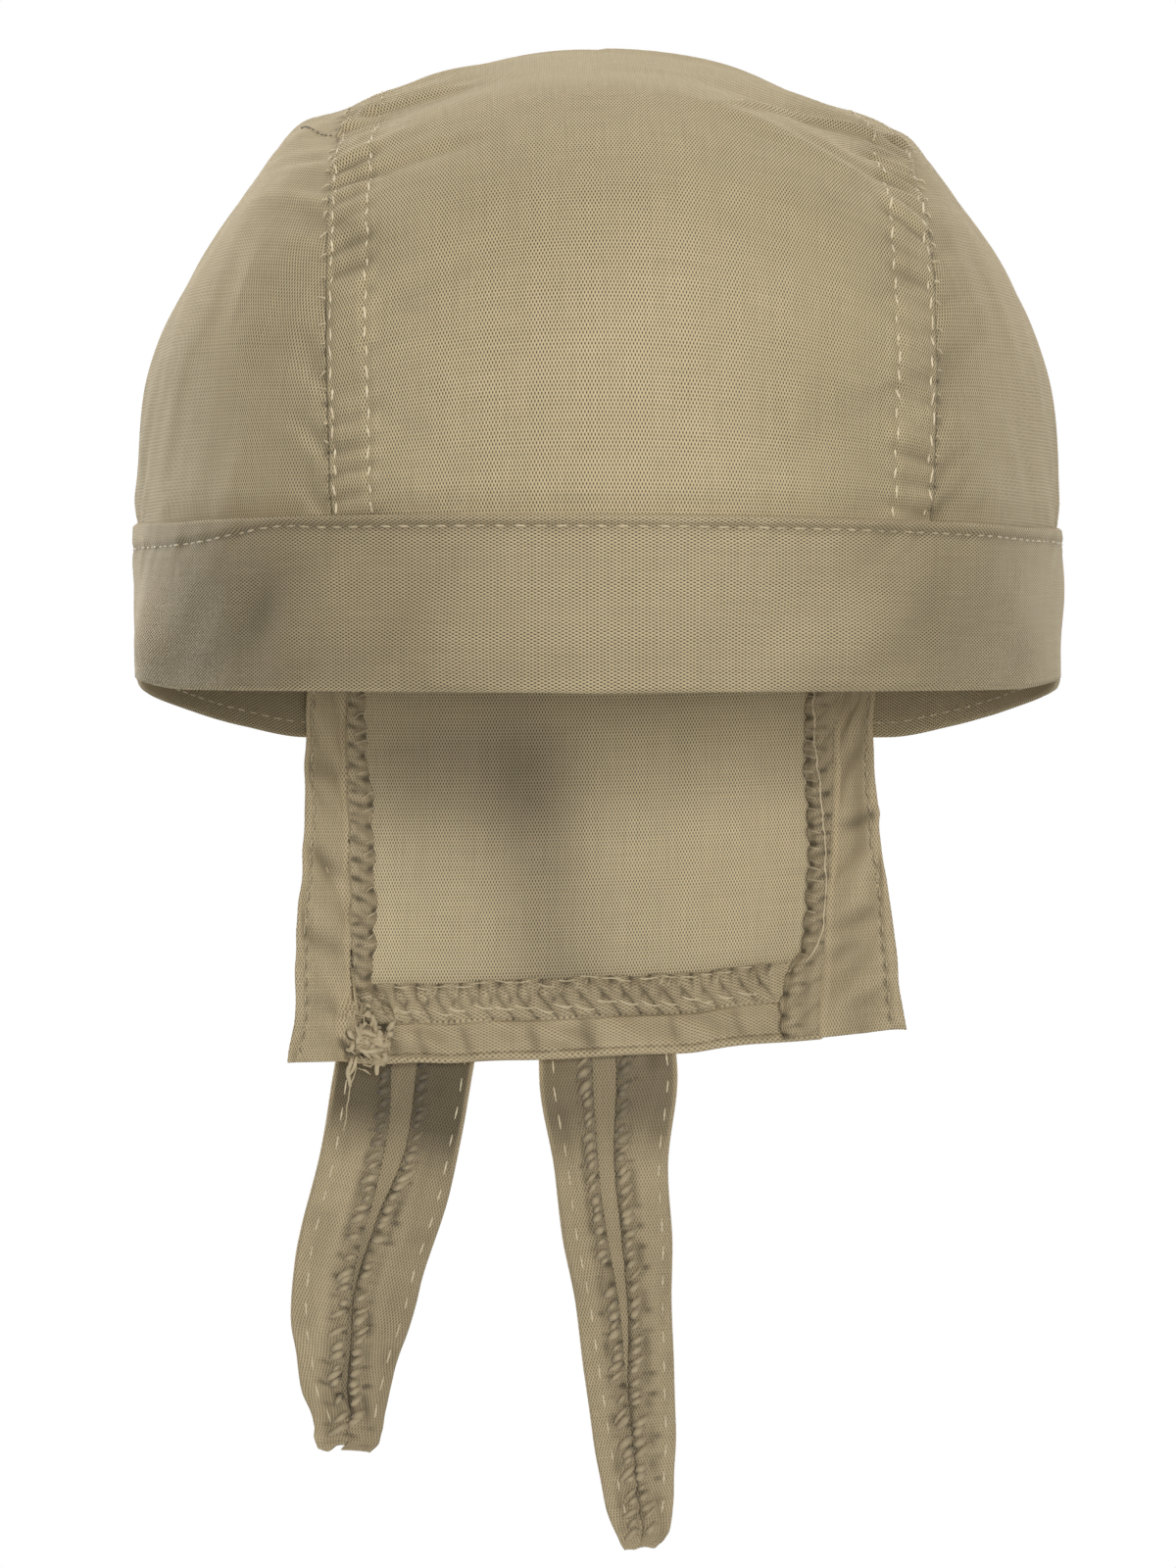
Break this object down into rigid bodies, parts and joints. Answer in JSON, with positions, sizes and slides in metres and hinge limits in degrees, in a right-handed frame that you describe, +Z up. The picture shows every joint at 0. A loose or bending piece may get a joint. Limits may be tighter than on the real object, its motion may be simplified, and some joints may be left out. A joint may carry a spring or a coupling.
{
  "type": "bandana cap",
  "caption": "Fitted khaki cloth cap with a wide centre panel, domed side panels, a headband, an open neck flap and two long ties knotted at the back.",
  "frame": {"origin": "middle of the head opening, at the height of the front rim, where a head carries the cap", "axes": "+Z up to the crown, -Y to the front, the way the wearer looks, and +X to the right as seen from the front"},
  "size_m": [0.1724, 0.2141, 0.289],
  "materials": {
    "khaki_cloth": "matt plain-woven cotton, khaki",
    "khaki_facing": "matt plain-woven cotton, khaki, wrong side"
  },
  "bodies": {
    "root": {"centre_panel": "khaki_cloth", "side_panel_left": "khaki_cloth", "side_panel_right": "khaki_cloth", "headband": "khaki_cloth", "flap_edge_left": "khaki_facing", "flap_edge_right": "khaki_facing", "flap_hem": "khaki_facing", "tie_left": "khaki_facing", "tie_right": "khaki_facing", "knot": "khaki_facing"}
  },
  "joints": []
}
